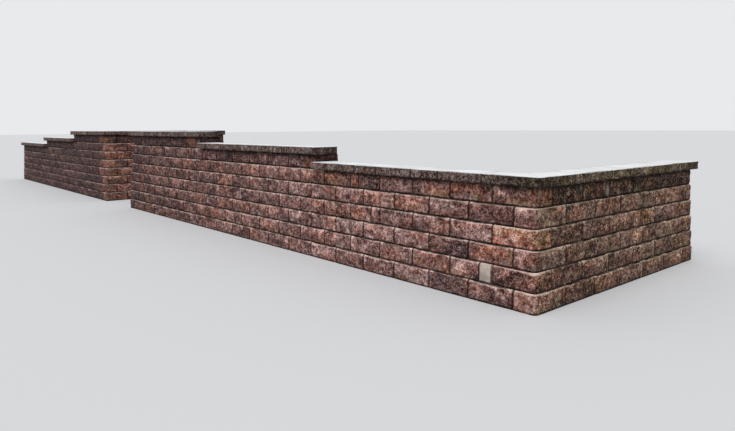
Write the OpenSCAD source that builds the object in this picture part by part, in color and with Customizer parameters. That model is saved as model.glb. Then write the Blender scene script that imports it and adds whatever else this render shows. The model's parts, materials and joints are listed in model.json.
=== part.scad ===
// Garden wall of split-face concrete blocks, laid dry in courses that step back
// up the wall, under a coping of cap stones that comes down in steps.
// A near wall turns a corner into the garden on the right. An entrance on the
// left parts it from a far wall, and both walls return along the entrance.
// The front faces -Y, the walls run along X, and the base course stands at z = 0.

/* [Blocks] */
// Height of a course
course_h = 152.4; // [100:0.1:200]
// Length of a block along the face
block_l = 420; // [300:1:500]
// Depth of a block from face to back
block_d = 305; // [260:1:360]
// Width of the open joint between neighbouring blocks
joint_w = 3; // [1:0.5:6]
// Depth to which a joint is open behind the face
joint_d = 70; // [30:1:120]
// Depth behind the open joint over which neighbouring blocks bear on each other
bearing_d = 60; // [30:1:90]
// Distance that each side of a block draws in from there to its back
taper = 25; // [5:1:45]
// Distance that each course steps back from the one below
setback = 12.7; // [4:0.1:20]
// Weathered slope along the top edge of a face
top_edge = 13; // [4:1:24]
// Broken slope along the bottom edge of a face
bottom_edge = 7; // [2:1:16]
// Broken slope down each end of a face
side_edge = 7; // [2:1:16]

/* [Corner blocks] */
// Long face of a corner block
corner_l = 395; // [330:1:450]
// Short face of a corner block
corner_w = 203; // [150:1:230]
// Radius to which the outer corner is broken off
corner_r = 42; // [26:1:70]

/* [Courses] */
// Courses under the low coping
low_courses = 6; // [3:1:7]
// Courses that each step of the coping adds
step_courses = 1; // [1:1:2]
// Shortest block that is cut to close a course
shortest_cut = 100; // [60:1:150]
// Length of the narrow fillers, each cut from the block beside it
filler_l = 118; // [80:1:150]

/* [Near wall] */
// Length under the high coping
near_high_l = 2645; // [1500:1:4000]
// Length under the middle coping
near_mid_l = 2690; // [1500:1:4000]
// Length under the low coping
near_low_l = 2730; // [1500:1:4000]
// Length of the return into the garden
garden_return_l = 2740; // [1500:1:4000]

/* [Entrance] */
// Width of the entrance between the two walls at their base
entrance_w = 1200; // [900:1:2400]
// Length of the two returns along the entrance
entrance_return_l = 1640; // [1200:1:2600]

/* [Far wall] */
// Length under the high coping
far_high_l = 2170; // [1500:1:4000]
// Length under the middle coping
far_mid_l = 2260; // [1500:1:4000]
// Length under the low coping
far_low_l = 2400; // [1500:1:4000]

/* [Coping] */
// Thickness of a cap stone
cap_h = 76; // [50:1:100]
// Depth of a cap stone from face to back
cap_d = 305; // [260:1:400]
// Length of a cap stone along its long face
cap_l = 445; // [400:1:500]
// Length along its short face, which every second stone turns to the front
cap_short_l = 305; // [280:1:360]
// Length of a corner's cap stone along the front
front_corner_cap_l = 510; // [450:1:600]
// Length of a corner's cap stone along the side
side_corner_cap_l = 572; // [450:1:640]
// Length of the cut cap stone near the right end of the middle coping
cut_cap_l = 200; // [150:1:280]
// Shortest cap stone that is cut to close a row
shortest_cap = 200; // [150:1:220]
// Distance that the caps stand out over the face below
cap_overhang = 50; // [20:1:60]
// Distance that the caps stand out past a free end
cap_end = 45; // [10:1:60]
// Joint between cap stones
cap_joint = 3; // [1:0.5:6]
// Broken slope along the upper edge of a cap's face
cap_top_edge = 5; // [2:1:12]
// Broken slope along the lower edge of a cap's face
cap_bottom_edge = 8; // [2:1:20]
// Radius of the coping's outer corners
cap_corner_r = 24; // [8:1:50]

/* [Hidden] */
mid_courses = low_courses + step_courses;
high_courses = mid_courses + step_courses;
near_l = near_high_l + near_mid_l + near_low_l;
far_l = far_high_l + far_mid_l + far_low_l;
bond = block_l + joint_w;
cap_lean = (cap_l - cap_short_l) / 2;
cut_clear = 1;

// The origin is below the middle of the whole, at the foot of the base course
total_l = near_l + entrance_w + far_l + cap_end;
near_corner_x = total_l / 2;
entrance_corner_x = near_corner_x - near_l;
far_corner_x = entrance_corner_x - entrance_w;
front_y = -(garden_return_l + cap_end) / 2;

// Blocks of the near wall that are cut in two: the course, the block's number
// from the corner block, and how far along it the cut is
cut_blocks = [[2, 1, filler_l], [4, 4, filler_l], [6, 4, block_l - filler_l]];

block_colour = [0.43, 0.31, 0.27];
band_colour = [0.38, 0.29, 0.26];
corner_colour = [0.52, 0.36, 0.28];
cap_colour = [0.70, 0.68, 0.63];

// Courses count from 1 at the base. Odd and even courses lap the other way
// round at a corner, as their corner blocks are turned.
function inset(n) = setback * (n - 1);
function face_l(n) = n % 2 == 0 ? corner_l : corner_w;
function side_l(n) = n % 2 == 0 ? corner_w : corner_l;

// Distance from a corner's foot to where a course starts behind its corner block
function front_start(n) = inset(n) + face_l(n) + joint_w;
function side_start(n) = inset(n) + side_l(n) + joint_w;

// The last two blocks are cut alike where a closing block would be too short
function closing(u, to) = to - u < shortest_cut ? (u - bond + to) / 2 : u;

// Middles of the joints between two ends, in a bond that is set out from origin
function splits(origin, from, to) = [
    for (n = [1 : ceil((to - origin) / bond)])
        let (u = origin + n * bond - joint_w / 2)
            if (u > from + shortest_cut && u < to - joint_w) closing(u, to)
];

// Where each course of the near wall and the far wall ends, from its right corner
function near_from(n) = n <= low_courses ? front_start(n)
    : n <= mid_courses ? near_low_l : near_low_l + near_mid_l;
function near_to(n) = near_l - front_start(n);
function far_to(n) = n <= low_courses ? far_l
    : n <= mid_courses ? far_high_l + far_mid_l : far_high_l;

// Section of a course: the face is at y = 0 and the block runs back from it
module block_section(depth) {
    polygon([
        [bottom_edge, 0], [depth, 0], [depth, course_h], [top_edge, course_h],
        [0, course_h - top_edge], [0, bottom_edge]
    ]);
}

// A bar along x of a section drawn in y and z
module along_x(from, to) {
    translate([from, 0, 0]) rotate([90, 0, 90]) linear_extrude(to - from) children();
}

// The open joint between two stones, with their broken edges on either side.
// Its back lies to one side of its mouth by its lean.
module joint_cut(u, width, edge, depth, height, lean = 0) {
    half = width / 2;
    translate([u, 0, -cut_clear]) linear_extrude(height + 2 * cut_clear) polygon([
        [-half - edge - cut_clear, -cut_clear], [half + edge + cut_clear, -cut_clear],
        [half, edge], [lean + half, depth], [lean - half, depth], [-half, edge]
    ]);
}

// The wedge between the backs of two blocks, whose sides draw in behind the bearing
module taper_cut(u) {
    start = joint_d + bearing_d;
    slope = taper / (block_d - start);
    narrow = joint_w / 2;
    wide = narrow + taper + slope * cut_clear;
    translate([u, 0, -cut_clear]) linear_extrude(course_h + 2 * cut_clear) polygon([
        [-narrow, start], [narrow, start],
        [wide, block_d + cut_clear], [-wide, block_d + cut_clear]
    ]);
}

// One course of a wall's leg, with x running away from the corner's foot
module course_leg(n, from, to, joints) {
    ends = [from - joint_w / 2, to + joint_w / 2];
    translate([0, inset(n), (n - 1) * course_h]) difference() {
        along_x(from, to) block_section(block_d);
        for (u = concat(ends, joints)) joint_cut(u, joint_w, side_edge, joint_d, course_h);
        for (u = joints) taper_cut(u);
    }
}

// The outer corner of a corner block, turned about its own centre
module corner_turn() {
    rotate(-90) rotate_extrude(angle = 90) polygon([
        [0, 0], [corner_r - bottom_edge, 0], [corner_r, bottom_edge],
        [corner_r, course_h - top_edge], [corner_r - top_edge, course_h], [0, course_h]
    ]);
}

// A corner block stands at a right-hand corner, whose foot is the origin
module corner_block(n) {
    face = face_l(n);
    side = side_l(n);
    translate([-inset(n), inset(n), (n - 1) * course_h]) difference() {
        union() {
            along_x(-face, -corner_r) block_section(side);
            rotate(90) along_x(corner_r, side) block_section(face);
            translate([-corner_r, corner_r, 0]) corner_turn();
        }
        joint_cut(-face - joint_w / 2, joint_w, side_edge, joint_d, course_h);
        rotate(90) joint_cut(side + joint_w / 2, joint_w, side_edge, joint_d, course_h);
    }
}

// Section of a cap stone on a course whose face is at y = 0
module cap_section() {
    polygon([
        [cap_bottom_edge - cap_overhang, 0], [cap_d - cap_overhang, 0],
        [cap_d - cap_overhang, cap_h], [cap_top_edge - cap_overhang, cap_h],
        [-cap_overhang, cap_h - cap_top_edge], [-cap_overhang, cap_bottom_edge]
    ]);
}

// What a mitre takes off a row of caps that starts at a corner
module mitre_cut(corner) {
    gap = cap_joint / sqrt(2);
    low = -cap_overhang - cut_clear;
    high = cap_d - cap_overhang + cut_clear;
    past = low - gap - cut_clear;
    translate([corner + gap, 0, -cut_clear]) linear_extrude(cap_h + 2 * cut_clear)
        polygon([[low, low], [high, high], [past, high], [past, low]]);
}

// What rounds the outer corner of the coping off
module cap_corner_cut(corner) {
    translate([corner - cap_overhang, -cap_overhang, -cut_clear])
        linear_extrude(cap_h + 2 * cut_clear) difference() {
            translate([-cut_clear, -cut_clear]) square(cap_corner_r + cut_clear);
            translate([cap_corner_r, cap_corner_r]) circle(cap_corner_r, $fn = 48);
        }
}

// Cap stones narrow from a long face to a short one, and are laid turn about.
// A row may start with stones of given lengths, then a long face comes first.
function cap_length(i, firsts) = i < len(firsts) ? firsts[i]
    : (i - len(firsts)) % 2 == 0 ? cap_l : cap_short_l;
function cap_start(i, from, firsts) = i == 0 ? from
    : cap_start(i - 1, from, firsts) + cap_length(i - 1, firsts) + cap_joint;

// Where each joint of a row is and how it leans. The last two stones are cut
// alike where a closing stone would be too short.
function cap_joints(from, to, firsts) = [
    for (i = [1 : ceil((to - from) / shortest_cap)])
        let (start = cap_start(i, from, firsts), before = cap_start(i - 1, from, firsts))
            if (start < to) [
                to - start < shortest_cap ? (before + to) / 2 : start - cap_joint / 2,
                i > len(firsts) && cap_length(i - 1, firsts) == cap_l ? -cap_lean : cap_lean
            ]
];

// A row of cap stones on top of course n, with x running away from the corner
module cap_row(n, from, to, firsts = [], mitred = false) {
    translate([0, inset(n), n * course_h]) difference() {
        along_x(from, to) cap_section();
        if (mitred) {
            mitre_cut(inset(n));
            cap_corner_cut(inset(n));
        }
        for (joint = cap_joints(from, to, firsts)) translate([0, -cap_overhang, 0])
            joint_cut(joint[0], cap_joint, cap_top_edge, cap_d + cut_clear, cap_h, joint[1]);
    }
}

// Frames of the three corners. A left-hand corner is a mirrored right-hand one.
module at_garden_corner() { translate([near_corner_x, front_y, 0]) children(); }
module at_far_corner() { translate([far_corner_x, front_y, 0]) children(); }
module at_entrance_corner() {
    translate([entrance_corner_x, front_y, 0]) mirror([1, 0, 0]) children();
}
module along_front() { mirror([1, 0, 0]) children(); }
module along_side() { rotate(90) children(); }

module near_course(n) {
    start = front_start(n);
    cuts = [for (c = cut_blocks) if (c[0] == n) start + (c[1] - 1) * bond + c[2] + joint_w / 2];
    color(n % 2 == 0 ? block_colour : band_colour) at_garden_corner() along_front()
        course_leg(n, near_from(n), near_to(n),
            concat(cuts, splits(start, near_from(n), near_to(n))));
}

module far_course(n) {
    start = front_start(n);
    color(n % 2 == 0 ? block_colour : band_colour) at_far_corner() along_front()
        course_leg(n, start, far_to(n), splits(start, start, far_to(n)));
}

module return_course(n, length) {
    start = side_start(n);
    color(n % 2 == 0 ? band_colour : block_colour) along_side()
        course_leg(n, start, length, splits(start, start, length));
}

module garden_return_course(n) {
    at_garden_corner() return_course(n, garden_return_l);
}

// Every second course of a leg or a corner, so that their solids don't touch
module near_entrance_return(first) {
    at_entrance_corner() for (n = [first:2:high_courses]) return_course(n, entrance_return_l);
}

module far_entrance_return(first) {
    at_far_corner() for (n = [first:2:high_courses]) return_course(n, entrance_return_l);
}

module corner_blocks(first, last) {
    color(corner_colour) for (n = [first:2:last]) corner_block(n);
}

module garden_corner(first) { at_garden_corner() corner_blocks(first, low_courses); }
module near_entrance_corner(first) { at_entrance_corner() corner_blocks(first, high_courses); }
module far_entrance_corner(first) { at_far_corner() corner_blocks(first, high_courses); }

// A row of cap stones that starts at a corner with a mitred stone
module corner_caps(n, to, first) {
    color(cap_colour) cap_row(n, inset(n) - cap_overhang, to, [first], mitred = true);
}

module near_low_caps() {
    at_garden_corner() along_front()
        corner_caps(low_courses, near_low_l - cap_joint, front_corner_cap_l);
}

module near_mid_caps() {
    color(cap_colour) at_garden_corner() along_front()
        cap_row(mid_courses, near_low_l - cap_end, near_low_l + near_mid_l - cap_joint,
            [cap_short_l, cut_cap_l]);
}

module near_high_caps() {
    at_entrance_corner() along_front()
        corner_caps(high_courses, near_high_l + cap_end, front_corner_cap_l);
}

module return_caps(n, length) {
    along_side() corner_caps(n, length + cap_end, side_corner_cap_l);
}

module garden_return_caps() { at_garden_corner() return_caps(low_courses, garden_return_l); }
module near_entrance_caps() { at_entrance_corner() return_caps(high_courses, entrance_return_l); }
module far_entrance_caps() { at_far_corner() return_caps(high_courses, entrance_return_l); }

module far_high_caps() {
    at_far_corner() along_front()
        corner_caps(high_courses, far_high_l + cap_end, front_corner_cap_l);
}

module far_mid_caps() {
    from = far_high_l + cap_joint;
    to = far_high_l + far_mid_l + cap_end;
    color(cap_colour) at_far_corner() along_front() cap_row(mid_courses, from, to);
}

module far_low_caps() {
    from = far_high_l + far_mid_l + cap_joint;
    to = far_l + cap_end;
    color(cap_colour) at_far_corner() along_front() cap_row(low_courses, from, to);
}

for (n = [1:high_courses]) {
    near_course(n);
    far_course(n);
}
for (n = [1:low_courses])
    garden_return_course(n);
near_entrance_return(1);  // near_entrance_return_odd
near_entrance_return(2);  // near_entrance_return_even
far_entrance_return(1);  // far_entrance_return_odd
far_entrance_return(2);  // far_entrance_return_even
garden_corner(1);  // garden_corner_odd
garden_corner(2);  // garden_corner_even
near_entrance_corner(1);  // near_entrance_corner_odd
near_entrance_corner(2);  // near_entrance_corner_even
far_entrance_corner(1);  // far_entrance_corner_odd
far_entrance_corner(2);  // far_entrance_corner_even
near_low_caps();
near_mid_caps();
near_high_caps();
garden_return_caps();
near_entrance_caps();
far_high_caps();
far_mid_caps();
far_low_caps();
far_entrance_caps();
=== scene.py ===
# Looks of the garden wall: split-face concrete blocks laid dry in courses that step
# back, under a pale coping. Sizes are in metres. x runs along the front, y runs into
# the garden and z is up. "Left" and "right" of a block are as seen from its face.

import json
import math
import random

import bpy
from mathutils import Matrix, Vector

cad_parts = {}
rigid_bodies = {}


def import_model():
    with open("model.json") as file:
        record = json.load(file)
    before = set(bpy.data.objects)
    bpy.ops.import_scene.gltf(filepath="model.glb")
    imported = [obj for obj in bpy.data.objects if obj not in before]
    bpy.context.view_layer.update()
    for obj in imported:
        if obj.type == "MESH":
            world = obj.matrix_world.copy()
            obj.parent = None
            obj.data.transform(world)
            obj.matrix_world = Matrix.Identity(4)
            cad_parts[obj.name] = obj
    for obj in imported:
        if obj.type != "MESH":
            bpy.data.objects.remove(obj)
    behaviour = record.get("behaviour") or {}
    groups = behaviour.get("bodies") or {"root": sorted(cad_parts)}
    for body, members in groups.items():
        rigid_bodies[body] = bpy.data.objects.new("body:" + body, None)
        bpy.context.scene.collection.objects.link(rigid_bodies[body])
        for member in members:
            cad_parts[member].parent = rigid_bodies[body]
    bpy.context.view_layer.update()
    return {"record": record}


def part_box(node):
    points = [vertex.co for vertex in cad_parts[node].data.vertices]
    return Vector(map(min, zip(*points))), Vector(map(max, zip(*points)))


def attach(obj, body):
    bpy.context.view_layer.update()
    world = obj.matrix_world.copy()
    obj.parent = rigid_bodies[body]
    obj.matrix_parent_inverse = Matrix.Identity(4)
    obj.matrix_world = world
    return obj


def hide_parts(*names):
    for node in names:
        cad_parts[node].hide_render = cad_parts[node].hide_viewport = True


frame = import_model()

# Blocks, laid by the same rules as the frame's courses. An edge has how far it draws in
# and how high it is. Behind its joint a block bears on the next one, and from there it
# narrows to the back.
BLOCK_L = 0.420
JOINT = 0.003
BOND = BLOCK_L + JOINT
TAPER = 0.025
BEARING_START = 0.070
BEARING_END = 0.130
BEARING_OUT = JOINT / 2 - 0.0001
TOP_EDGE = (0.014, 0.030)
BOTTOM_EDGE = (0.007, 0.010)
SIDE_EDGE = 0.007
CORNER_L = 0.395
CORNER_W = 0.203
CORNER_R = 0.042
END_R = 0.012
SHORTEST_CUT = 0.100
FILLER_L = 0.118

# How many courses carry each step of the coping
LOW, MID, HIGH = 6, 7, 8

# Coping, whose stones narrow from a long face to a short one
CAP_L = 0.445
CAP_SHORT_L = 0.305
CAP_LEAN = (CAP_L - CAP_SHORT_L) / 2
FRONT_CORNER_CAP_L = 0.510
SIDE_CORNER_CAP_L = 0.572
CUT_CAP_L = 0.200
SHORTEST_CAP = 0.200
CAP_JOINT = 0.003
CAP_MITRE = 0.0002
CAP_OVERHANG = 0.050
CAP_TOP_EDGE = (0.005, 0.006)
CAP_BOTTOM_EDGE = (0.007, 0.010)
CAP_SIDE_EDGE = 0.005
CAP_CORNER_R = 0.024

# Meshes of the shapes: the steps between their points, and how far a break in the face
# reaches down a side, along a joint and in from an edge. Edge hold is the share of the
# break that an edge is spared, and the core is the flat middle of a bed.
FACE_STEP = 0.014
CORNER_STEP = 0.008
EDGE_PARTS = 4
PLAIN_STEPS = (0.018, 0.045)
BREAK_DEPTH = 0.045
JOINT_REACH = 0.030
RIM_REACH = 0.022
CHIP_SPREAD = 0.3
EDGE_HOLD = 0.88
CORE = 0.28
WELD = 0.00001
SHARP_ANGLE = math.radians(50)

# How deep the faces are broken, from broad hollows to fine grains and chipped edges
BLOCK_BREAKS = {
    "Broad Break": 0.005,
    "Middle Break": 0.009,
    "Fine Break": 0.003,
    "Rim": 0.003,
    "Chips": 0.003,
}
CAP_BREAKS = {
    "Broad Break": 0.003,
    "Middle Break": 0.004,
    "Fine Break": 0.002,
    "Rim": 0.0,
    "Chips": 0.003,
}
SMOOTH_SHARE = 0.8

# What varies from stone to stone. Tone is how pale a stone is and warm is how rusty. Both
# fade with the distance from the garden corner; the fall of tone is painted shade over the
# far parts. A stone under a cap is darker, a painted shade of the cap, and a
# straight block is paler than a corner one. Damp is how thick the dark film of a side is.
SEED = 11
LAYING_SLACK = 0.002
PATTERN_SHIFT = 40.0
PATTERN_STEP = 3.7
USUAL_TONE = 0.45
STRAIGHT_TONE = 0.2
TONE_SPREAD = 0.075
AWAY_SHADE_FADE = 0.1
PALEST_AWAY = 2.0
DEEPEST_AWAY_SHADE = 0.8
WARM_FADE = 0.05
CAP_SHADE_FADE = 0.2
# Painted light: extra tone that makes the far entrance return paler, as it stands in the open
FAR_RETURN_LIGHT = 0.45
FAR_RETURN_WARM = 1.3
GARDEN_DAMP = 0.75
COVERED_DAMP = 1.0
ENTRANCE_DAMP = 0.2

# Blocks by the garden corner that stand out from the rest, as their course, their number
# from the corner and their looks. The smooth one is a filler.
NEAR_LOOKS = (
    (2, 0, {"smooth": 1.0, "tone": 0.9}),
    (3, 0, {"warm": 1.3, "tone": 0.3}),
    (3, 1, {"warm": 0.0, "tone": 0.15}),
    (5, 0, {"warm": 0.1, "tone": 0.1}),
    (6, 0, {"warm": 0.6, "tone": 0.2}),
    (6, 1, {"warm": 0.8, "tone": 0.25}),
)

# Tone and warmth of the garden corner's own blocks, from the lowest up
CORNER_LOOKS = {
    "odd": ((0.7, 0.0), (0.5, 0.3), (0.75, 0.2)),
    "even": ((0.4, 0.3), (0.75, 2.2), (0.5, 0.9)),
}

# Patterns of the breaks and finishes, which are twice as long as they are high. A layer
# of grit is the scale, detail and roughness of a noise, and its share.
SPLIT_RUN = (0.5, 0.5, 1.0)
LIME_RUN = (1.0, 1.0, 0.12)
MOSS_REACH = 0.75
MOSS_SHARE = 0.7
GRIT_DEPTH = 0.006
GRIT_LAYERS = (((32.0, 3.0, 0.6), 1.6), ((75.0, 3.0, 0.65), 0.7), ((210.0, 2.0, 0.5), 0.3))
SHINE = 0.12

# Studio. The camera's place is from the foot of the garden corner, and its turns are in
# degrees.
FLOOR_REACH = 150.0
SKY_LEVEL = 0.66
LAMP_LEVEL = 1.7
LAMP_SPREAD = 50.0
LAMP_FROM = (0.25, -0.5, 1.0)
CAMERA_PLACE = (2.325, -3.591, 1.346)
CAMERA_LENS = 29.34
SENSOR_WIDTH = 36.0
CAMERA_YAW = 49.11
CAMERA_DOWN = 8.42
CAMERA_ROLL = -0.35


def rgb(red, green, blue):
    """A colour written as 0 to 255 values, in the linear light that shaders use."""

    def linear(value):
        share = value / 255
        return share / 12.92 if share <= 0.04045 else ((share + 0.055) / 1.055) ** 2.4

    return (linear(red), linear(green), linear(blue), 1.0)


# Colours of the blocks
BLOCK_BLEND = (
    (0.35, rgb(82, 55, 52)),
    (0.44, rgb(118, 82, 76)),
    (0.52, rgb(148, 108, 99)),
    (0.60, rgb(166, 127, 117)),
    (0.71, rgb(190, 154, 143)),
)
OCHRE = rgb(158, 120, 88)
RUST = rgb(168, 112, 92)
PALE_PINK = rgb(196, 165, 155)
PLUM = rgb(78, 60, 68)
# Pale of worn, dusty block tops, which also serves as a painted highlight where light from above falls on
# them
WORN_AND_LIT = rgb(184, 157, 147)
BLEACHED_AND_LIT = rgb(204, 179, 169)
FILLER_GREY = rgb(158, 143, 135)
FILLER_PALE = rgb(186, 171, 163)
LIME = rgb(150, 144, 142)
# Near-black for dirt in the joints and for painted shade under caps, along feet and on free ends
SOOT_AND_SHADE = rgb(24, 16, 14)

# Colours of the caps
CAP_BLEND = (
    (0.34, rgb(56, 44, 40)),
    (0.46, rgb(86, 71, 66)),
    (0.58, rgb(112, 96, 90)),
    (0.70, rgb(154, 137, 129)),
)
CAP_RUST = rgb(126, 88, 80)
# Near-black for painted shade and dirt at the foot of a cap's face and on its free ends
CAP_SOOT_AND_SHADE = rgb(26, 20, 17)
CAP_DIRT = rgb(40, 33, 30)
CAP_TOP = rgb(226, 229, 231)
CAP_STAIN = rgb(210, 212, 211)

# Shades that a colour is multiplied by
HOLLOW_SHADE = (0.46, 0.34, 0.30, 1.0)
HUMP_SHADE = (1.34, 1.44, 1.49, 1.0)
PIT_SHADE = (0.22, 0.12, 0.09, 1.0)
GRAIN_SHADE = (2.0, 2.0, 2.0)
PALE_GRAIN = rgb(208, 184, 175)
COOL_SHADE = (0.90, 0.95, 1.06, 1.0)
WARM_SHADE = (1.13, 0.98, 0.90, 1.0)
BLOCK_FILM = (0.28, 0.35, 0.12)
CAP_FILM = (0.50, 0.62, 0.12)

# Colours of the studio
FLOOR_COLOUR = rgb(205, 206, 208)
SKY_COLOUR = (0.98, 0.99, 1.0, 1.0)
BACKDROP_COLOUR = rgb(232, 234, 236)


def size_of(node):
    low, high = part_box(node)
    return high - low


# Sizes that come from the frame
COURSE_H = size_of("near_course_1").z
BLOCK_D = size_of("near_course_1").y
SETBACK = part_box("near_course_2")[0].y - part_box("near_course_1")[0].y
CAP_H = size_of("near_mid_caps").z
CAP_D = size_of("near_mid_caps").y

# The slot of each node, and the boxes of the rows of caps
SLOTS = {part["node"]: part["material_slot"] for part in frame["record"]["subparts"]}
COPING = [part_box(node) for node, slot in SLOTS.items() if slot == "cap"]

# Feet of the three corners
GARDEN_CORNER = Vector((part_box("garden_corner_odd")[1].x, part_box("near_course_1")[0].y, 0.0))
ENTRANCE_CORNER = Vector((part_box("near_entrance_corner_odd")[0].x, GARDEN_CORNER.y, 0.0))
FAR_CORNER = Vector((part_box("far_entrance_corner_odd")[1].x, GARDEN_CORNER.y, 0.0))

# The chances of the laying, the shapes made so far, and the stones of each node
chance = random.Random(SEED)
shapes = bpy.data.collections.new("shapes")
shape_numbers = {}
stones = {}


class Graph:
    """Adds nodes to a tree. A value is a number, a tuple or another node's socket."""

    def __init__(self, tree):
        self.tree = tree

    def node(self, kind, inputs=(), **settings):
        made = self.tree.nodes.new(kind)
        for name, value in settings.items():
            setattr(made, name, value)
        for key, value in dict(inputs).items():
            if isinstance(value, bpy.types.NodeSocket):
                self.tree.links.new(value, made.inputs[key])
            else:
                made.inputs[key].default_value = value
        return made

    def math(self, operation, a, b=0.0):
        return self.node("ShaderNodeMath", {0: a, 1: b}, operation=operation).outputs[0]

    def joined(self, operation, first, *others):
        for other in others:
            first = self.math(operation, first, other)
        return first

    def plus(self, *values):
        return self.joined("ADD", *values)

    def times(self, *values):
        return self.joined("MULTIPLY", *values)

    def most(self, *values):
        return self.joined("MAXIMUM", *values)

    def rest(self, share):
        """What a share leaves of 1."""
        return self.math("SUBTRACT", 1.0, share)

    def vector(self, operation, a, b):
        return self.node("ShaderNodeVectorMath", {0: a, 1: b}, operation=operation).outputs[0]

    def tinted(self, colour, shade):
        """A colour times a shade, which is one factor or three."""
        return self.vector("MULTIPLY", colour, shade)

    def scaled(self, vector, factor):
        made = self.node("ShaderNodeVectorMath", {0: vector, "Scale": factor}, operation="SCALE")
        return made.outputs[0]

    def part(self, vector, axis):
        return self.node("ShaderNodeSeparateXYZ", {0: vector}).outputs[axis]

    def between(self, value, low, high, to_low=0.0, to_high=1.0):
        """Takes value from low..high to to_low..to_high with a smooth start and end."""
        made = self.node(
            "ShaderNodeMapRange",
            {"Value": value, "From Min": low, "From Max": high, "To Min": to_low, "To Max": to_high},
            interpolation_type="SMOOTHSTEP",
        )
        return made.outputs[0]

    def noise(self, vector, scale, detail=2.0, roughness=0.5, distortion=0.0):
        made = self.node(
            "ShaderNodeTexNoise",
            {
                "Vector": vector,
                "Scale": scale,
                "Detail": detail,
                "Roughness": roughness,
                "Distortion": distortion,
            },
        )
        return made.outputs[0]

    def mix(self, factor, a, b):
        """Colour a where the factor is 0, and colour b where it is 1."""
        made = self.node(
            "ShaderNodeMix", {0: factor, 6: a, 7: b}, data_type="RGBA", clamp_factor=True
        )
        return made.outputs[2]

    def ramp(self, value, stops):
        made = self.node("ShaderNodeValToRGB", {"Fac": value})
        elements = made.color_ramp.elements
        while len(elements) < len(stops):
            elements.new(0.5)
        for element, (place, colour) in zip(elements, stops):
            element.position = place
            element.color = colour
        return made.outputs["Color"]


# Plans of the blocks


def turned(direction, angle):
    return Matrix.Rotation(angle, 2) @ direction


def plan(corners):
    """Points anticlockwise round a block, as (place, push, joint, face).

    A corner is (x, y, radius, the side that starts there), and a side is split, plain or
    a mitre. The push says which way a broken face goes in, joint is 1 at a joint and 0
    away from it, and face is 1 on a split face.
    """
    count = len(corners)
    places = [Vector(corner[:2]) for corner in corners]
    radii = [corner[2] for corner in corners]
    kinds = [corner[3] for corner in corners]
    sides = [(places[(i + 1) % count] - places[i]).normalized() for i in range(count)]
    inward = [turned(side, math.pi / 2) for side in sides]
    trims = [radii[i] * math.tan(sides[i - 1].angle(sides[i]) / 2) for i in range(count)]
    points = []
    for i in range(count):
        before, after = i - 1, (i + 1) % count
        points += rounded_corner(
            places[i], radii[i], inward[before], inward[i], kinds[before], kinds[i]
        )
        start = places[i] + sides[i] * trims[i]
        end = places[after] - sides[i] * trims[after]
        if kinds[i] == "split":
            points += split_side(
                start, end, inward[i], kinds[before] == "plain", kinds[after] == "plain"
            )
        else:
            before_push = inward[before] if kinds[before] == "split" else None
            after_push = inward[after] if kinds[after] == "split" else None
            points += plain_side(start, end, before_push, after_push)
    return [
        point for i, point in enumerate(points) if (point[0] - points[i - 1][0]).length > WELD
    ]


def rounded_corner(corner, radius, inward, next_inward, before, after):
    face = 1.0 if "split" in (before, after) else 0.0
    push = inward if before == "split" else next_inward
    at_joint = 1.0 if {before, after} == {"split", "plain"} else 0.0
    if radius == 0:
        return [(corner, push * face, at_joint, face)]
    turn = inward.angle(next_inward)
    centre = corner + (inward + next_inward) * radius / (1 + inward.dot(next_inward))
    steps = max(2, round(radius * turn / CORNER_STEP))
    points = []
    for step in range(steps + 1):
        way = turned(inward, turn * step / steps)
        going_in = way if before == after == "split" else push + way * CHIP_SPREAD
        points.append((centre - way * radius, going_in, at_joint, 1.0))
    return points


def split_side(start, end, inward, joint_before, joint_after):
    length = (end - start).length
    if length < WELD:
        return []
    count = max(2, round(length / FACE_STEP))
    points = []
    for step in range(1, count):
        along = length * step / count
        from_before = along if joint_before else length
        from_after = length - along if joint_after else length
        at_joint = max(0.0, 1 - min(from_before, from_after) / JOINT_REACH)
        points.append((start.lerp(end, step / count), inward, at_joint, 1.0))
    return points


def plain_side(start, end, before_push, after_push):
    """A side that isn't broken itself, but gives way to a broken face at either end."""
    along = (end - start).normalized()
    depths = [depth for depth in PLAIN_STEPS if depth < (end - start).length / 2]

    def giving_way(edge, way, push, depth):
        fade = 1 - depth / BREAK_DEPTH
        return (edge + way * depth, push * fade, fade, 0.0)

    points = []
    if before_push is not None:
        points += [giving_way(start, along, before_push, depth) for depth in depths]
    if after_push is not None:
        points += [giving_way(end, -along, after_push, depth) for depth in reversed(depths)]
    return points


def level_rows(height, bottom_edge, top_edge):
    """Levels up a face, and how far it draws in at each, with both edges rounded off."""
    (bottom_in, bottom_high), (top_in, top_high) = bottom_edge, top_edge
    rows = []
    for part in range(EDGE_PARTS):
        angle = math.pi / 2 * part / EDGE_PARTS
        rows.append((bottom_high * (1 - math.cos(angle)), bottom_in * (1 - math.sin(angle))))
    low, high = bottom_high, height - top_high
    count = round((high - low) / FACE_STEP)
    rows += [(low + (high - low) * i / count, 0.0) for i in range(count + 1)]
    for part in range(1, EDGE_PARTS + 1):
        angle = math.pi / 2 * part / EDGE_PARTS
        rows.append((high + top_high * math.sin(angle), top_in * (1 - math.cos(angle))))
    return rows


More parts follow.
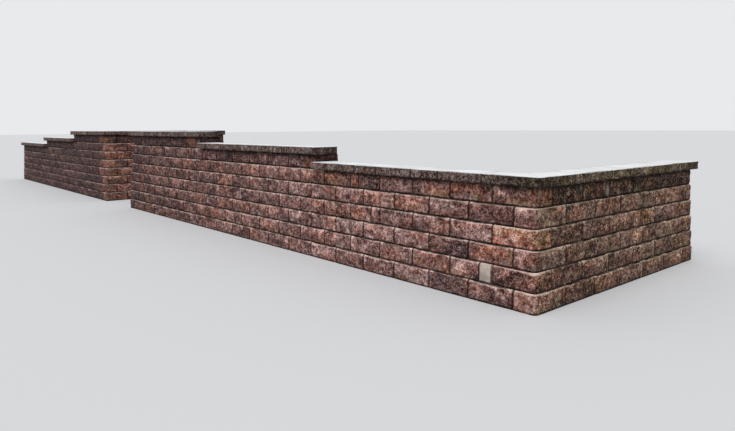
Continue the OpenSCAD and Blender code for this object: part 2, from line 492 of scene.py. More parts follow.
def block_mesh(corners, height, bottom_edge, top_edge):
    """A closed block that knows where its split faces, joints and edges are.

    Its lowest and highest rows lie round the core of its bed and of its top.
    """
    points = plan(corners)
    middle = sum((point[0] for point in points), Vector((0, 0))) / len(points)
    rows = [(0.0, None)] + level_rows(height, bottom_edge, top_edge) + [(height, None)]
    places, push, joint, rise, rim, face = [], [], [], [], [], []
    for level, drawn_in in rows:
        edge = max(0.0, 1 - min(level, height - level) / RIM_REACH)
        for place, going_in, at_joint, on_face in points:
            if drawn_in is None:
                place, going_in, on_face = place.lerp(middle, CORE), Vector((0, 0)), 0.0
            else:
                place = place + going_in * drawn_in
            places.append((place.x, place.y, level))
            push += [going_in.x, going_in.y, 0.0]
            joint.append(at_joint)
            rise.append(level / height)
            rim.append(max(edge, at_joint))
            face.append(on_face)
    mesh = bpy.data.meshes.new("shape")
    mesh.from_pydata(places, [], faces_of_rows(len(rows), len(points)))
    mesh.attributes.new("push", "FLOAT_VECTOR", "POINT").data.foreach_set("vector", push)
    for field, values in (("joint", joint), ("rise", rise), ("rim", rim), ("face", face)):
        mesh.attributes.new(field, "FLOAT", "POINT").data.foreach_set("value", values)
    return mesh


def faces_of_rows(row_count, around):
    """Faces of a closed form of rows that have the same number of points around them."""
    top = (row_count - 1) * around
    faces = [tuple(reversed(range(around))), tuple(range(top, top + around))]
    for low in range(0, top, around):
        for i in range(around):
            j = (i + 1) % around
            faces.append((low + i, low + j, low + around + j, low + around + i))
    return faces


def stretcher(length, split_end):
    """A block that bears on its neighbours behind its face and then narrows to the back.

    The one at a free end is split there too.
    """
    front = [(0.0, 0.0, SIDE_EDGE, "split"), (length, 0.0, SIDE_EDGE, "plain")]
    right = [
        (length, BEARING_START, 0.0, "plain"),
        (length + BEARING_OUT, BEARING_START + BEARING_OUT, 0.0, "plain"),
        (length + BEARING_OUT, BEARING_END, 0.0, "plain"),
        (length - TAPER, BLOCK_D, 0.0, "plain"),
    ]
    left = mirrored(right, length)
    if split_end == "right":
        front[1] = (length, 0.0, END_R, "split")
        right = [(length, BLOCK_D, SIDE_EDGE, "plain")]
    if split_end == "left":
        front[0] = (0.0, 0.0, END_R, "split")
        left = [(0.0, BLOCK_D, SIDE_EDGE, "split")]
    return shape_number(front + right + left, COURSE_H, BOTTOM_EDGE, TOP_EDGE)


def corner_block(front, side, hand):
    """A block at the end of a front, split on its face and on the end at that hand."""
    start, out = BEARING_START, BEARING_OUT
    corners = [
        (0.0, 0.0, SIDE_EDGE, "split"),
        (front, 0.0, CORNER_R, "split"),
        (front, side, SIDE_EDGE, "plain"),
        (front - start, side, 0.0, "plain"),
        (front - start - out, side + out, 0.0, "plain"),
        (-out, side + out, 0.0, "plain"),
        (-out, start + out, 0.0, "plain"),
        (0.0, start, 0.0, "plain"),
    ]
    if hand == "left":
        corners = mirrored(corners, front)
    return shape_number(corners, COURSE_H, BOTTOM_EDGE, TOP_EDGE)


def mirrored(corners, length):
    """The corners of the other hand. Each takes the kind of the side that came before it."""
    kinds = [corners[i - 1][3] for i in range(len(corners))]
    return [(length - x, y, r, kind) for (x, y, r, _), kind in zip(corners, kinds)][::-1]


def cap_stone(length, left, right, left_draw, right_draw):
    """A cap stone. Each end is plain, split or a mitre, and plain ends draw in to the back.

    The face of a mitred cap ends in half of the corner's round, whose tip is on the mitre.
    """
    face_end = CAP_CORNER_R * (2 - math.sqrt(2))
    tip = face_end / 2
    if left == "mitre":
        corners = [
            (tip + CAP_MITRE, tip, 0.0, "split"),
            (face_end + CAP_MITRE, 0.0, CAP_CORNER_R, "split"),
        ]
    else:
        corners = [(0.0, 0.0, END_R if left == "split" else CAP_SIDE_EDGE, "split")]
    if right == "mitre":
        corners += [
            (length - face_end - CAP_MITRE, 0.0, CAP_CORNER_R, "split"),
            (length - tip - CAP_MITRE, tip, 0.0, "mitre"),
            (length - CAP_D - CAP_MITRE, CAP_D, 0.0, "plain"),
        ]
    else:
        corners += [
            (length, 0.0, END_R if right == "split" else CAP_SIDE_EDGE, right),
            (length - right_draw, CAP_D, CAP_SIDE_EDGE if right == "split" else 0.0, "plain"),
        ]
    if left == "mitre":
        corners += [(CAP_D + CAP_MITRE, CAP_D, 0.0, "mitre")]
    else:
        corners += [(left_draw, CAP_D, CAP_SIDE_EDGE if left == "split" else 0.0, left)]
    return shape_number(corners, CAP_H, CAP_BOTTOM_EDGE, CAP_TOP_EDGE)


def shape_number(corners, *sizes):
    """The number of a shape among the shapes. It is made when it is first called for."""
    corners = [(round(x, 4), round(y, 4), radius, side) for x, y, radius, side in corners]
    key = (tuple(corners), sizes)
    if key not in shape_numbers:
        number = len(shape_numbers)
        shapes.objects.link(bpy.data.objects.new(f"shape_{number:03}", block_mesh(corners, *sizes)))
        shape_numbers[key] = number
    return shape_numbers[key]


# The courses and the coping, set out from the foot of a corner


class Leg:
    """A straight run of wall that starts at a corner's foot."""

    def __init__(self, corner, along, inward):
        self.corner, self.along, self.inward = corner, Vector(along), Vector(inward)
        right = Vector((self.inward.y, -self.inward.x, 0.0))
        self.turn = math.atan2(right.y, right.x)
        self.runs_right = self.along.dot(right) > 0
        self.near_end, self.far_end = ("left", "right") if self.runs_right else ("right", "left")

    def left_end(self, start, end, set_back, level):
        """Where the left end of a face stands that runs from start to end."""
        out = start if self.runs_right else end
        return self.corner + self.along * out + self.inward * set_back + Vector((0, 0, level))

    def reach(self, node):
        """How far along the leg a node starts and ends."""
        return sorted((corner - self.corner).dot(self.along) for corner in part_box(node))


NEAR_FRONT = Leg(GARDEN_CORNER, (-1, 0, 0), (0, 1, 0))
GARDEN_RETURN = Leg(GARDEN_CORNER, (0, 1, 0), (-1, 0, 0))
ENTRANCE_FRONT = Leg(ENTRANCE_CORNER, (1, 0, 0), (0, 1, 0))
NEAR_RETURN = Leg(ENTRANCE_CORNER, (0, 1, 0), (1, 0, 0))
FAR_FRONT = Leg(FAR_CORNER, (-1, 0, 0), (0, 1, 0))
FAR_RETURN = Leg(FAR_CORNER, (0, 1, 0), (-1, 0, 0))


def inset(n):
    """How far course n steps back from the lowest one."""
    return SETBACK * (n - 1)


def front_length(n):
    """How much of the front a corner block takes in course n."""
    return CORNER_L if n % 2 == 0 else CORNER_W


def side_length(n):
    """How much of the return a corner block takes in course n."""
    return CORNER_W if n % 2 == 0 else CORNER_L


def bond_start(n):
    """Where the first block of a front stands in course n."""
    return inset(n) + front_length(n) + JOINT


def covered(leg, along, set_back, level):
    """Whether a cap lies on a block, whose middle is there and whose top is at that level."""
    place = leg.left_end(along, along, set_back + BEARING_END, level + CAP_H / 2)
    for low, high in COPING:
        if all(low[axis] < place[axis] < high[axis] for axis in range(3)):
            return True
    return False


def piece_of_stone(leg, shape, start, end, set_back, level, damp, free=False):
    """One block or cap, with its own place in the patterns and its own tone."""
    place = leg.left_end(start, end, set_back, level)
    # Painted shade: a stone is made darker the further it stands from the palest place near the garden
    # corner, and darker under a cap
    away = (place - GARDEN_CORNER).length
    away_shade = min(AWAY_SHADE_FADE * abs(away - PALEST_AWAY), DEEPEST_AWAY_SHADE)
    under_cap = float(covered(leg, (start + end) / 2, set_back, level + COURSE_H))
    return {
        "place": place,
        "turn": leg.turn,
        "shape": shape,
        "shift": [chance.uniform(-PATTERN_SHIFT, PATTERN_SHIFT) for axis in range(3)],
        "tone": chance.gauss(USUAL_TONE, TONE_SPREAD) - away_shade - CAP_SHADE_FADE * under_cap,
        "warm": chance.random() ** 2 - WARM_FADE * away,
        "smooth": 0.0,
        "damp": damp,
        "covered": under_cap,
        "open_end": float(free),
    }


def course(leg, n, origin, reach, cuts=(), split_start=False, split_end=False, damp=0.0):
    """The blocks of a course. Their bond is set out from its origin, and cuts are added."""
    start, end = reach
    joints = list(cuts)
    for number in range(1, math.ceil((end - origin) / BOND) + 1):
        joint = origin + number * BOND - JOINT / 2
        if start + SHORTEST_CUT < joint < end - JOINT:
            joints.append((joint - BOND + end) / 2 if end - joint < SHORTEST_CUT else joint)
    edges = [start - JOINT / 2] + sorted(joints) + [end + JOINT / 2]
    blocks = []
    for number, (before, after) in enumerate(zip(edges, edges[1:])):
        split = None
        if split_start and number == 0:
            split = leg.near_end
        if split_end and number == len(edges) - 2:
            split = leg.far_end
        face_start, face_end = before + JOINT / 2, after - JOINT / 2
        set_back = inset(n) + chance.uniform(0.0, LAYING_SLACK)
        shape = stretcher(face_end - face_start, split)
        level = (n - 1) * COURSE_H
        free = split is not None
        blocks.append(piece_of_stone(leg, shape, face_start, face_end, set_back, level, damp, free))
    return blocks


def front_course(leg, n, node, cuts=(), split_end=False):
    """A course of a front. Above the low coping its near end is free, and is split."""
    return course(leg, n, bond_start(n), leg.reach(node), cuts, n > LOW, split_end)


def return_courses(leg, first, last, node, damp):
    """Every second course of a return, from the first to the last."""
    blocks = []
    for n in range(first, last + 1, 2):
        start = inset(n) + side_length(n) + JOINT
        blocks += course(leg, n, start, (start, leg.reach(node)[1]), damp=damp)
    return blocks


def corner_blocks(leg, first, last, damp):
    """Every second block up a corner, which stands on the front leg's near end."""
    blocks = []
    for n in range(first, last + 1, 2):
        face_start, face_end = inset(n), inset(n) + front_length(n)
        shape = corner_block(front_length(n), side_length(n), leg.near_end)
        level = (n - 1) * COURSE_H
        blocks.append(piece_of_stone(leg, shape, face_start, face_end, inset(n), level, damp))
    return blocks


def cap_edges(start, end, firsts):
    """Middles of the joints of a row of caps and its two ends, each with the joint's lean."""
    edges = [(start - CAP_JOINT / 2, 0.0)]
    lengths = list(firsts)
    while len(lengths) < (end - start) / SHORTEST_CAP:
        lengths += [CAP_L, CAP_SHORT_L]
    face_end = start
    for number, length in enumerate(lengths):
        last_start = face_end
        face_end += length + CAP_JOINT
        if face_end >= end:
            break
        after_long = number >= len(firsts) and length == CAP_L
        closing = end - face_end < SHORTEST_CAP
        joint = (last_start + end) / 2 if closing else face_end - CAP_JOINT / 2
        edges.append((joint, -CAP_LEAN if after_long else CAP_LEAN))
    return edges + [(end + CAP_JOINT / 2, 0.0)]


def cap_row(leg, n, node, near_end, far_end, firsts, damp=0.0):
    """The caps on course n. Each end of the row is a mitre, split or plain.

    Firsts are the lengths of the caps at its near end. Long and short ones follow them.
    """
    start, end = leg.reach(node)
    if near_end == "mitre":
        start = inset(n) - CAP_OVERHANG
    edges = cap_edges(start, end, firsts)
    caps = []
    for number, ((before, lean_before), (after, lean_after)) in enumerate(zip(edges, edges[1:])):
        near = near_end if number == 0 else "plain"
        far = far_end if number == len(edges) - 2 else "plain"
        face_start, face_end = before + CAP_JOINT / 2, after - CAP_JOINT / 2
        ends, draws = (near, far), (lean_before, -lean_after)
        if not leg.runs_right:
            ends, draws = (far, near), (-lean_after, lean_before)
        shape = cap_stone(face_end - face_start, *ends, *draws)
        slack = 0.0 if "mitre" in ends else chance.uniform(0.0, LAYING_SLACK)
        set_back = inset(n) - CAP_OVERHANG + slack
        level = n * COURSE_H
        free = "split" in ends
        caps.append(piece_of_stone(leg, shape, face_start, face_end, set_back, level, damp, free))
    return caps


# Geometry Nodes that set the shapes out and break their faces


def laying_tree():
    tree = bpy.data.node_groups.new("laid_stones", "GeometryNodeTree")
    face = tree.interface
    face.new_socket("Geometry", in_out="OUTPUT", socket_type="NodeSocketGeometry")
    face.new_socket("Geometry", in_out="INPUT", socket_type="NodeSocketGeometry")
    face.new_socket("Shapes", in_out="INPUT", socket_type="NodeSocketCollection")
    for label in (*BLOCK_BREAKS, "Smooth Share"):
        face.new_socket(label, in_out="INPUT", socket_type="NodeSocketFloat")
    face.new_socket("Pattern", in_out="INPUT", socket_type="NodeSocketInt")
    face.new_socket("Material", in_out="INPUT", socket_type="NodeSocketMaterial")
    graph = Graph(tree)
    given = graph.node("NodeGroupInput").outputs
    solid = set_out(graph, given)
    depth, hollow = break_depth(graph, given)
    push = graph.node(
        "ShaderNodeVectorRotate",
        {"Vector": attribute(graph, "push", "FLOAT_VECTOR"), "Angle": attribute(graph, "turn")},
        rotation_type="Z_AXIS",
    ).outputs[0]
    solid = stored(graph, solid, "hollow", hollow)
    solid = graph.node(
        "GeometryNodeSetPosition", {"Geometry": solid, "Offset": graph.scaled(push, depth)}
    ).outputs[0]
    normal = graph.node("GeometryNodeInputNormal").outputs[0]
    solid = stored(graph, solid, "up", graph.part(normal, "Z"))
    solid = graph.node(
        "GeometryNodeSetMaterial", {"Geometry": solid, "Material": given["Material"]}
    ).outputs[0]
    graph.node("NodeGroupOutput", {0: solid})
    return tree


def attribute(graph, name, kind="FLOAT"):
    return graph.node("GeometryNodeInputNamedAttribute", {"Name": name}, data_type=kind).outputs[0]


def stored(graph, solid, name, value):
    """The solid with a value kept on each of its points."""
    return graph.node(
        "GeometryNodeStoreNamedAttribute",
        {"Geometry": solid, "Name": name, "Value": value},
        data_type="FLOAT",
        domain="POINT",
    ).outputs[0]


def set_out(graph, given):
    """The shape of each stone at its point, turned its way, as real meshes."""
    picked = graph.node(
        "GeometryNodeCollectionInfo",
        {"Collection": given["Shapes"], "Separate Children": True, "Reset Children": True},
    )
    facing = graph.node("ShaderNodeCombineXYZ", {"Z": attribute(graph, "turn")}).outputs[0]
    placed = graph.node(
        "GeometryNodeInstanceOnPoints",
        {
            "Points": given["Geometry"],
            "Instance": picked.outputs[0],
            "Pick Instance": True,
            "Instance Index": attribute(graph, "shape", "INT"),
            "Rotation": facing,
        },
    ).outputs[0]
    return graph.node("GeometryNodeRealizeInstances", {"Geometry": placed}).outputs[0]


def break_depth(graph, given):
    """How deep a face is broken at each point, and how far down a hollow the point is."""
    place = graph.node("GeometryNodeInputPosition").outputs[0]
    shift = graph.vector("ADD", place, attribute(graph, "shift", "FLOAT_VECTOR"))
    where = graph.vector("ADD", shift, graph.times(given["Pattern"], PATTERN_STEP))
    where = graph.vector("MULTIPLY", where, SPLIT_RUN)
    broad = graph.between(graph.noise(where, 4.5, detail=1.0), 0.25, 0.75)
    middle = graph.between(graph.noise(where, 18.0, roughness=0.55), 0.28, 0.72)
    fine = graph.noise(where, 48.0, roughness=0.6)
    chip = graph.between(graph.noise(where, 20.0, detail=1.0), 0.5, 0.7)
    broken = graph.plus(
        graph.times(broad, given["Broad Break"]),
        graph.times(middle, given["Middle Break"]),
        graph.times(fine, given["Fine Break"]),
    )
    deepest = graph.plus(given["Broad Break"], given["Middle Break"])
    hollow = graph.math("DIVIDE", broken, deepest)
    rim = attribute(graph, "rim")
    chipped = graph.times(rim, graph.plus(graph.times(chip, given["Chips"]), given["Rim"]))
    held = graph.rest(graph.times(rim, EDGE_HOLD))
    broken = graph.plus(graph.times(broken, held), chipped)
    left_smooth = graph.times(attribute(graph, "smooth"), given["Smooth Share"])
    return graph.times(broken, graph.rest(left_smooth)), hollow


def laid(name, laid_stones, tree, breaks, material):
    """One mesh of all the stones, broken by the tree."""
    points = bpy.data.meshes.new(name)
    points.from_pydata([stone["place"] for stone in laid_stones], [], [])
    shifts = [part for stone in laid_stones for part in stone["shift"]]
    fields = {
        "shape": ("INT", "value", [stone["shape"] for stone in laid_stones]),
        "shift": ("FLOAT_VECTOR", "vector", shifts),
    }
    for field in ("turn", "tone", "warm", "smooth", "damp", "covered", "open_end"):
        fields[field] = ("FLOAT", "value", [stone[field] for stone in laid_stones])
    for field, (kind, key, values) in fields.items():
        points.attributes.new(field, kind, "POINT").data.foreach_set(key, values)
    piece = bpy.data.objects.new(name, points)
    bpy.context.scene.collection.objects.link(piece)
    modifier = piece.modifiers.new("lay", "NODES")
    modifier.node_group = tree
    sockets = {item.name: item.identifier for item in tree.interface.items_tree if item.in_out == "INPUT"}
    values = {"Shapes": shapes, "Material": material, "Pattern": SEED, "Smooth Share": SMOOTH_SHARE}
    for label, value in (values | breaks).items():
        modifier[sockets[label]] = value
    drawn = piece.evaluated_get(bpy.context.evaluated_depsgraph_get())
    mesh = bpy.data.meshes.new_from_object(drawn)
    piece.modifiers.clear()
    piece.data = mesh
    bpy.data.meshes.remove(points)
    mesh.shade_smooth()
    mesh.set_sharp_from_angle(angle=SHARP_ANGLE)
    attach(piece, "root")
    return piece


# Finishes


def new_finish(name):
    material = bpy.data.materials.new(name)
    material.use_nodes = True
    material.node_tree.nodes.clear()
    return material, Graph(material.node_tree)


def known(graph, name, output="Fac"):
    """What the piece knows of itself at a point, or of the stone there."""
    return graph.node("ShaderNodeAttribute", attribute_name=name).outputs[output]


def own_place(graph):
    return graph.node("ShaderNodeTexCoord").outputs["Object"]


def pattern_places(graph):
    """Object coordinates, moved for each stone, so that no pattern runs on past a joint.

    The first place is for grain, and the second for patches, which are longer than high.
    """
    place = graph.vector("ADD", own_place(graph), known(graph, "shift", "Vector"))
    return place, graph.vector("MULTIPLY", place, SPLIT_RUN)


def grit(graph, where):
    """Bump of broken concrete on a split face, and of cast concrete elsewhere."""
    layers = [graph.times(graph.noise(where, *noise), share) for noise, share in GRIT_LAYERS]
    strength = graph.between(known(graph, "face"), 0.0, 1.0, 0.08, 1.0)
    return graph.node(
        "ShaderNodeBump",
        {"Strength": strength, "Distance": GRIT_DEPTH, "Height": graph.plus(*layers)},
    ).outputs[0]


def finished(graph, colour, roughness, **more):
    look = {"Base Color": colour, "Roughness": roughness, "Specular IOR Level": SHINE}
    shader = graph.node("ShaderNodeBsdfPrincipled", look | more)
    graph.node("ShaderNodeOutputMaterial", {"Surface": shader.outputs[0]})


def patches(graph, where, scale, more, most, start=0.55, ragged=0.68):
    """Patches with ragged edges, wider where more is higher, and up to most inside."""
    edge = graph.noise(where, scale, detail=5.0, roughness=ragged, distortion=0.7)
    return graph.between(graph.plus(graph.times(more, 0.12), edge), start, start + 0.12, 0.0, most)


def crumbled(graph, where):
    """The fine pattern of the broken grain, which is low in pits and high on grains."""
    return graph.noise(where, 48.0, detail=3.0, roughness=0.72, distortion=1.3)


def mottled(graph, colour, where, most_pale):
    """Soft humps and hollows, with crisp dark pits and pale grains over them."""
    humps = graph.between(graph.noise(where, 26.0, roughness=0.6), 0.34, 0.66)
    grain = crumbled(graph, where)
    pits = graph.between(grain, 0.48, 0.39, 0.0, 0.95)
    grains = graph.between(grain, 0.53, 0.62, 0.0, most_pale)
    shade = graph.mix(pits, graph.mix(humps, HOLLOW_SHADE, HUMP_SHADE), PIT_SHADE)
    colour = graph.tinted(colour, shade)
    pale = graph.mix(0.5, graph.tinted(colour, GRAIN_SHADE), PALE_GRAIN)
    return graph.mix(grains, colour, pale)


def filmed(graph, colour, place, damp, shade):
    """A dark film of damp and moss, thicker in patches and rubbed off the grains."""
    film = graph.between(graph.noise(place, 6.0, detail=4.0, roughness=0.6), 0.38, 0.62, 0.65, 1.1)
    left_on = graph.between(crumbled(graph, place), 0.5, 0.61, 1.0, 0.35)
    return graph.mix(graph.times(film, left_on, damp), colour, graph.tinted(colour, shade))


def limed(graph, colour, where, share):
    """Pale runs of lime that have come down from the coping."""
    drawn_down = graph.vector("MULTIPLY", where, LIME_RUN)
    runs = graph.between(graph.noise(drawn_down, 26.0, roughness=0.6), 0.6, 0.76, 0.0, 0.7)
    return graph.mix(graph.times(runs, share), colour, LIME)


def sideways(graph):
    """1 on what looks along the front, as the returns and the free ends do."""
    normal = graph.node("ShaderNodeNewGeometry").outputs["Normal"]
    return graph.between(graph.math("ABSOLUTE", graph.part(normal, "X")), 0.5, 0.85)


def open_end(graph):
    """1 on the face of a free end, which is darkened with painted shade and keeps the soot and damp of
    the step beside it.
    """
    return graph.times(sideways(graph), known(graph, "open_end"))


def blended(graph, where, tone):
    """Concrete blended of charcoal, brown and pale pink, with rust and plum in it."""
    warm = known(graph, "warm")
    blend = graph.noise(where, 6.0, detail=5.0, roughness=0.6, distortion=1.2)
    colour = graph.ramp(graph.plus(blend, graph.times(tone, 0.3)), BLOCK_BLEND)
    rust = patches(graph, where, 5.5, warm, 0.7, start=0.6, ragged=0.5)
    rusty = graph.between(graph.noise(where, 6.0, detail=1.0), 0.42, 0.58)
    colour = graph.mix(rust, colour, graph.mix(rusty, OCHRE, RUST))
    redness = graph.plus(graph.noise(where, 4.0, detail=1.0, roughness=0.6), graph.times(warm, 0.12))
    hue = graph.mix(graph.between(redness, 0.38, 0.66), COOL_SHADE, WARM_SHADE)
    colour = graph.tinted(colour, hue)
    colour = graph.mix(patches(graph, where, 10.0, tone, 0.6), colour, PALE_PINK)
    darkness = graph.times(tone, -1.0)
    return graph.mix(patches(graph, where, 12.0, darkness, 0.7), colour, PLUM)


def wear_and_top_light(graph, tone, uneven):
    """How far a block is worn pale along its top, and given a painted highlight there on faces that look
    up, where no cap lies on it.
    """
    upward = graph.between(known(graph, "up"), 0.1, 0.5)
    bare = graph.rest(known(graph, "covered"))
    return graph.times(upward, bare, uneven, graph.between(tone, -0.7, 0.1, 0.55, 1.0))


def block_dirt_and_shade(graph, rise, uneven):
    """Dirt in the joints, and painted shade right under a cap, along the foot and, with dirt, on a free
    end.
    """
    joint = graph.between(known(graph, "joint"), 0.84, 1.0, 0.0, 0.85)
    # Painted shadow of the cap's overhang across the top of a block that a cap lies on
    cap_shadow = graph.times(graph.between(rise, 0.6, 0.97), known(graph, "covered"))
    joint_dirt_and_cap_shadow = graph.times(graph.most(joint, cap_shadow), uneven)
    # Painted shade, with dirt and damp, on the face of a free end
    free_end_shade_and_dirt = graph.times(open_end(graph), 0.6)
    # Painted shade along the foot of each block, in the groove between courses
    foot = graph.times(graph.between(rise, 0.15, 0.05), graph.between(uneven, 0.6, 1.0, 0.75, 1.0))
    return graph.most(joint_dirt_and_cap_shadow, free_end_shade_and_dirt, foot)


def split_concrete(name, extra_tone):
    """Blended concrete, worn pale and given a painted highlight along its top, with dirt in its joints
    and painted shade under a cap, along its foot and on a free end.
    """
    material, graph = new_finish(name)
    place, where = pattern_places(graph)
    tone = graph.plus(known(graph, "tone"), extra_tone - USUAL_TONE)
    rise = known(graph, "rise")
    uneven = graph.noise(where, 32.0, detail=3.0, roughness=0.6)
    uneven = graph.between(uneven, 0.35, 0.65, 0.6, 1.0)
    # Painted highlight with some real wear: faces that look up are made paler
    worn_and_lit = wear_and_top_light(graph, tone, uneven)
    colour = graph.mix(worn_and_lit, blended(graph, where, tone), WORN_AND_LIT)
    # Painted shade and highlight: the deeper a point lies in a hollow of the broken face, the darker it
    # is made, and humps are made paler
    hollow = graph.between(known(graph, "hollow"), 0.0, 1.0, 1.25, 0.6)
    colour = graph.tinted(mottled(graph, colour, place, 1.0), hollow)
    # Painted highlight and wear again, paler still, on the tops that look up
    colour = graph.mix(graph.times(worn_and_lit, 0.7), colour, BLEACHED_AND_LIT)
    damp = graph.times(known(graph, "damp"), sideways(graph))
    colour = filmed(graph, colour, place, damp, BLOCK_FILM)
    colour = limed(graph, colour, where, graph.times(damp, known(graph, "covered")))
    cloudy = graph.between(graph.noise(where, 20.0, detail=4.0, roughness=0.6), 0.3, 0.7)
    colour = graph.mix(known(graph, "smooth"), colour, graph.mix(cloudy, FILLER_GREY, FILLER_PALE))
    # Painted light: each block is made darker towards its foot and paler towards its top, as if lit from
    # above; a higher tone makes it paler all over
    bright = graph.plus(graph.times(tone, 0.3), 1.0)
    colour = graph.tinted(colour, graph.times(graph.between(rise, 0.1, 0.9, 0.82, 1.15), bright))
    # Dirt in the joints, and painted shade under caps, along feet and on free ends
    colour = graph.mix(block_dirt_and_shade(graph, rise, uneven), colour, SOOT_AND_SHADE)
    roughness = graph.between(graph.noise(place, 90.0), 0.3, 0.7, 0.82, 0.96)
    finished(graph, colour, roughness, Normal=grit(graph, place))
    return material


def near_corner(graph):
    """1 at the top of the garden corner and 0 beyond the reach of its moss."""
    corner = GARDEN_CORNER + Vector((0.0, 0.0, LOW * COURSE_H))
    apart = graph.node("ShaderNodeVectorMath", {0: own_place(graph), 1: corner}, operation="DISTANCE")
    return graph.between(apart.outputs["Value"], MOSS_REACH, 0.0)


def aged_side(graph, place, where):
    """A split face gone dark with age and mossy at the garden corner, with dirt and painted shade at its
    foot and on a free end.
    """
    blend = graph.noise(where, 11.0, detail=5.0, roughness=0.72, distortion=0.5)
    colour = graph.ramp(blend, CAP_BLEND)
    rust = patches(graph, where, 6.0, known(graph, "warm"), 0.6)
    colour = graph.mix(rust, colour, CAP_RUST)
    corner = near_corner(graph)
    damp = graph.most(known(graph, "damp"), graph.times(corner, MOSS_SHARE))
    colour = filmed(graph, mottled(graph, colour, place, 0.8), place, damp, CAP_FILM)
    colour = graph.tinted(colour, graph.between(corner, 0.0, 1.0, 1.0, 0.5))
    # Painted shade of the overhang, with some dirt, towards the foot of the cap's face
    foot = graph.between(known(graph, "rise"), 0.3, 0.05, 0.0, 0.9)
    uneven = graph.noise(where, 28.0, detail=3.0, roughness=0.6)
    uneven = graph.between(uneven, 0.35, 0.65, 0.3, 1.0)
    # Painted shade, with dirt, on the face of a free end
    free_end_shade_and_dirt = graph.times(open_end(graph), 0.5)
    return graph.mix(graph.most(graph.times(foot, uneven), free_end_shade_and_dirt), colour, CAP_SOOT_AND_SHADE)


def pale_top(graph, place, where):
    stains = graph.between(graph.noise(where, 7.0, detail=4.0, roughness=0.6), 0.35, 0.68)
    speckle = graph.between(graph.noise(place, 200.0, roughness=0.7), 0.3, 0.7, 0.92, 1.04)
    return graph.tinted(graph.mix(stains, CAP_TOP, CAP_STAIN), speckle)


def cap_concrete(name):
    """Pale smooth tops, over a ragged line from the dark split faces."""
    material, graph = new_finish(name)
    place, where = pattern_places(graph)
    ragged = graph.plus(graph.times(graph.noise(place, 90.0, detail=3.0), 0.4), -0.2)
    upward = graph.between(graph.plus(known(graph, "up"), ragged), 0.45, 0.72)
    colour = graph.mix(upward, aged_side(graph, place, where), pale_top(graph, place, where))
    joint = graph.between(known(graph, "joint"), 0.8, 1.0, 0.0, 0.6)
    colour = graph.mix(joint, colour, CAP_DIRT)
    roughness = graph.between(graph.noise(place, 90.0), 0.3, 0.7, 0.75, 0.95)
    finished(graph, colour, roughness, Normal=grit(graph, place))
    return material


# Putting the wall together


def near_cuts(n):
    """Joints of the cut blocks and their fillers in a course of the near front."""
    start = bond_start(n)
    cuts = {
        2: start + FILLER_L,
        4: start + 3 * BOND + FILLER_L,
        6: start + 3 * BOND + BLOCK_L - FILLER_L,
    }
    return [cuts[n] + JOINT / 2] if n in cuts else []


def lay_blocks():
    for n in range(1, HIGH + 1):
        near, far = f"near_course_{n}", f"far_course_{n}"
        stones[near] = front_course(NEAR_FRONT, n, near, near_cuts(n))
        stones[far] = front_course(FAR_FRONT, n, far, split_end=True)
    for n in range(1, LOW + 1):
        node = f"garden_return_course_{n}"
        stones[node] = return_courses(GARDEN_RETURN, n, n, node, GARDEN_DAMP)
    for first, order in ((1, "odd"), (2, "even")):
        for name, leg in (("near_entrance", NEAR_RETURN), ("far_entrance", FAR_RETURN)):
            node = f"{name}_return_{order}"
            stones[node] = return_courses(leg, first, HIGH, node, ENTRANCE_DAMP)
        stones[f"garden_corner_{order}"] = corner_blocks(NEAR_FRONT, first, LOW, GARDEN_DAMP)
        stones[f"near_entrance_corner_{order}"] = corner_blocks(ENTRANCE_FRONT, first, HIGH, 0.0)
        stones[f"far_entrance_corner_{order}"] = corner_blocks(FAR_FRONT, first, HIGH, 0.0)


def choose_blocks():
    """Gives the blocks by the garden corner and round the entrance their own looks."""
    for n, number, looks in NEAR_LOOKS:
        stones[f"near_course_{n}"][number].update(looks)
    for order, corner_looks in CORNER_LOOKS.items():
        for stone, (tone, warm) in zip(stones[f"garden_corner_{order}"], corner_looks):
            stone.update(tone=tone, warm=warm)
    # Painted shade: the garden return's top course is made darker once more under its caps, and its damp
    # film is thickest
    for stone in stones["garden_return_course_6"]:
        stone["damp"] = COVERED_DAMP
        stone["tone"] -= CAP_SHADE_FADE
    # The far wall's side of the entrance is in the open, and is brighter than its front: its stones are
    # made paler with painted light, warmer, and dry.
    for order in ("odd", "even"):
        for name in ("far_entrance_return", "far_entrance_corner"):
            for stone in stones[f"{name}_{order}"]:
                stone.update(warm=FAR_RETURN_WARM, damp=0.0)
                stone["tone"] += FAR_RETURN_LIGHT


def lay_coping():
    for node, leg, n, far_end in (
        ("near_low_caps", NEAR_FRONT, LOW, "plain"),
        ("near_high_caps", ENTRANCE_FRONT, HIGH, "split"),
        ("far_high_caps", FAR_FRONT, HIGH, "split"),
    ):
        stones[node] = cap_row(leg, n, node, "mitre", far_end, [FRONT_CORNER_CAP_L])
    for node, leg, n, damp in (
        ("garden_return_caps", GARDEN_RETURN, LOW, GARDEN_DAMP),
        ("near_entrance_caps", NEAR_RETURN, HIGH, 0.0),
        ("far_entrance_caps", FAR_RETURN, HIGH, 0.0),
    ):
        stones[node] = cap_row(leg, n, node, "mitre", "split", [SIDE_CORNER_CAP_L], damp)
    for node, leg, n, near_end, far_end, firsts in (
        ("near_mid_caps", NEAR_FRONT, MID, "split", "plain", [CAP_SHORT_L, CUT_CAP_L]),
        ("far_mid_caps", FAR_FRONT, MID, "plain", "split", []),
        ("far_low_caps", FAR_FRONT, LOW, "plain", "split", []),
    ):
        stones[node] = cap_row(leg, n, node, near_end, far_end, firsts)


def match_mitred_caps():
    """The two caps of a corner were split as one, so their pattern runs on over the mitre."""
    for front, side in (
        ("near_low_caps", "garden_return_caps"),
        ("near_high_caps", "near_entrance_caps"),
        ("far_high_caps", "far_entrance_caps"),
    ):
        for look in ("shift", "tone", "warm"):
            stones[side][0][look] = stones[front][0][look]


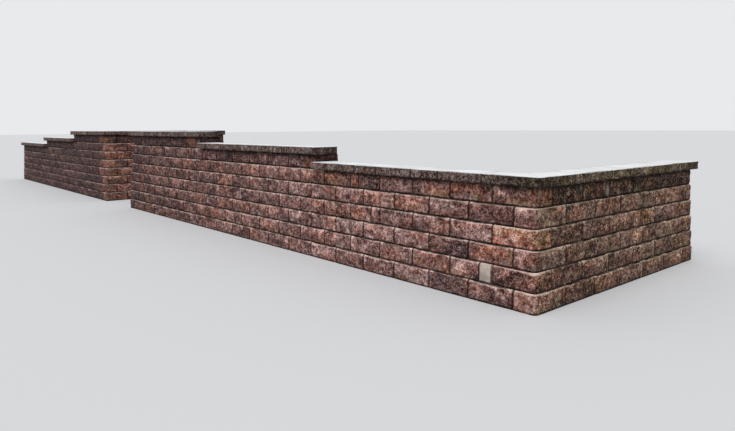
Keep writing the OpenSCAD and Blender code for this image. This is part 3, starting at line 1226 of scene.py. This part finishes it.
def make_pieces():
    finishes = {
        "block": split_concrete("split_block", STRAIGHT_TONE),
        "corner_block": split_concrete("split_corner", 0.0),
        "cap": cap_concrete("cap_stone"),
    }
    tree = laying_tree()
    for node, laid_stones in stones.items():
        slot = SLOTS[node]
        breaks = CAP_BREAKS if slot == "cap" else BLOCK_BREAKS
        piece = laid(f"{node}_stones", laid_stones, tree, breaks, finishes[slot])
        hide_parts(node)
    for shape in list(shapes.objects):
        bpy.data.objects.remove(shape)
    bpy.data.collections.remove(shapes)


# Floor, light and camera


def pale_floor():
    material, graph = new_finish("pale_floor")
    finished(graph, FLOOR_COLOUR, 0.9)
    mesh = bpy.data.meshes.new("floor")
    reach = FLOOR_REACH
    corners = [(-reach, -reach, 0), (reach, -reach, 0), (reach, reach, 0), (-reach, reach, 0)]
    mesh.from_pydata(corners, [], [(0, 1, 2, 3)])
    mesh.materials.append(material)
    floor = bpy.data.objects.new("floor", mesh)
    bpy.context.scene.collection.objects.link(floor)


def studio_light():
    """An even sky that looks paler than it lights, and one broad lamp overhead."""
    world = bpy.data.worlds.new("studio")
    bpy.context.scene.world = world
    world.use_nodes = True
    world.node_tree.nodes.clear()
    graph = Graph(world.node_tree)
    light = graph.node("ShaderNodeBackground", {"Color": SKY_COLOUR, "Strength": SKY_LEVEL})
    seen = graph.node("ShaderNodeBackground", {"Color": BACKDROP_COLOUR, "Strength": 1.0})
    path = graph.node("ShaderNodeLightPath").outputs
    through = graph.most(path["Is Glossy Ray"], path["Is Transmission Ray"])
    shown = graph.most(path["Is Camera Ray"], through)
    mixed = graph.node("ShaderNodeMixShader", {0: shown, 1: light.outputs[0], 2: seen.outputs[0]})
    graph.node("ShaderNodeOutputWorld", {"Surface": mixed.outputs[0]})
    lamp = bpy.data.lights.new("overhead", "SUN")
    lamp.energy = LAMP_LEVEL
    lamp.angle = math.radians(LAMP_SPREAD)
    overhead = bpy.data.objects.new("overhead", lamp)
    overhead.rotation_euler = Vector(LAMP_FROM).to_track_quat("Z", "Y").to_euler()
    bpy.context.scene.collection.objects.link(overhead)


def camera():
    """The photograph's viewpoint, on foot beyond the garden corner."""
    data = bpy.data.cameras.new("camera")
    data.lens = CAMERA_LENS
    data.sensor_width = SENSOR_WIDTH
    seen = bpy.data.objects.new("camera", data)
    place = GARDEN_CORNER + Vector(CAMERA_PLACE)
    turn = Matrix.Rotation(math.radians(CAMERA_YAW), 3, "Z")
    tilt = Matrix.Rotation(math.radians(90 - CAMERA_DOWN), 3, "X")
    roll = Matrix.Rotation(math.radians(CAMERA_ROLL), 3, "Z")
    seen.matrix_world = Matrix.Translation(place) @ (turn @ tilt @ roll).to_4x4()
    bpy.context.scene.collection.objects.link(seen)
    bpy.context.scene.camera = seen


lay_blocks()
choose_blocks()
lay_coping()
match_mitred_caps()
make_pieces()
pale_floor()
studio_light()
camera()
bpy.context.scene.view_settings.view_transform = "Standard"
